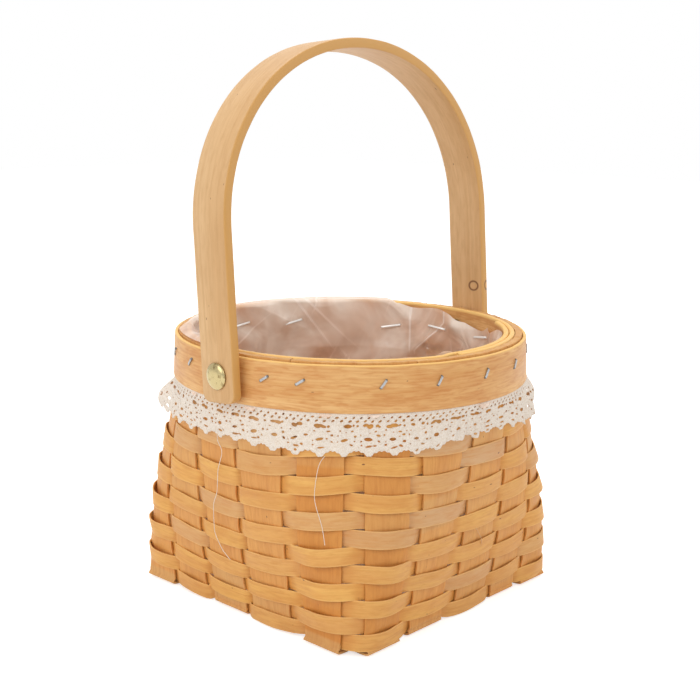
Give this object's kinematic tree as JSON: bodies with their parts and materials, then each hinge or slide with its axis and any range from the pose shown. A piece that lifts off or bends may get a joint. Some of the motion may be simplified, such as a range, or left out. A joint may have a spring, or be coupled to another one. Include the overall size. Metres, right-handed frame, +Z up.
{
  "type": "pie basket",
  "caption": "Small woven chip-wood basket, square at the base and round at the hooped rim, with a riveted swing handle, a lace band and a film liner.",
  "frame": {"origin": "middle of the basket on the plane that it stands on, under the crossing of the two middle base splints", "axes": "+Z up through the mouth; the handle's hinge line runs along X through the two rivets, and the handle leans a little towards +Y at rest"},
  "size_m": [0.1976, 0.1823, 0.2791],
  "materials": {
    "splint_wood": "bare orange-brown wood veneer with a fine grain along the splint",
    "weaver_wood": "bare honey-coloured wood veneer strip, slightly uneven from row to row",
    "hoop_wood": "stained bent wood with a fine grain round the rim",
    "handle_wood": "smooth pale bent wood with golden edges and a few small knots",
    "lace_cotton": "cream cotton crochet lace",
    "liner_film": "thin translucent film, slightly pink, softly crinkled",
    "rivet_brass": "polished brass with slight tarnish",
    "staple_steel": "flat bright steel wire"
  },
  "bodies": {
    "basket": {"stake_x1": "splint_wood", "stake_x2": "splint_wood", "stake_x3": "splint_wood", "stake_x4": "splint_wood", "stake_x5": "splint_wood", "stake_y1": "splint_wood", "stake_y2": "splint_wood", "stake_y3": "splint_wood", "stake_y4": "splint_wood", "stake_y5": "splint_wood", "weaver_01": "weaver_wood", "weaver_02": "weaver_wood", "weaver_03": "weaver_wood", "weaver_04": "weaver_wood", "weaver_05": "weaver_wood", "weaver_06": "weaver_wood", "weaver_07": "weaver_wood", "weaver_08": "weaver_wood", "weaver_09": "weaver_wood", "weaver_10": "weaver_wood", "weaver_11": "weaver_wood", "weaver_12": "weaver_wood", "weaver_13": "weaver_wood", "weaver_14": "weaver_wood", "weaver_15": "weaver_wood", "weaver_16": "weaver_wood", "outer_hoop": "hoop_wood", "inner_hoop": "hoop_wood", "lace_trim": "lace_cotton", "film_liner": "liner_film", "rivet_left": "rivet_brass", "rivet_right": "rivet_brass", "rivet_washer_left": "rivet_brass", "rivet_washer_right": "rivet_brass", "rim_staple_01": "staple_steel", "rim_staple_02": "staple_steel", "rim_staple_03": "staple_steel", "rim_staple_04": "staple_steel", "rim_staple_05": "staple_steel", "rim_staple_06": "staple_steel", "rim_staple_07": "staple_steel", "rim_staple_08": "staple_steel", "rim_staple_09": "staple_steel", "rim_staple_10": "staple_steel", "rim_staple_11": "staple_steel", "rim_staple_12": "staple_steel", "rim_staple_13": "staple_steel", "rim_staple_14": "staple_steel", "liner_staple_01": "staple_steel", "liner_staple_02": "staple_steel", "liner_staple_03": "staple_steel", "liner_staple_04": "staple_steel", "liner_staple_05": "staple_steel", "liner_staple_06": "staple_steel", "liner_staple_07": "staple_steel", "liner_staple_08": "staple_steel"},
    "handle": {"handle_bow": "handle_wood"}
  },
  "joints": [
    {"name": "handle_swing", "type": "hinge", "parent": "basket", "child": "handle", "pos_m": [0, -0.0059, 0.1241], "axis": [1, 0, 0], "range_deg": [-115.5, 124.5]}
  ]
}
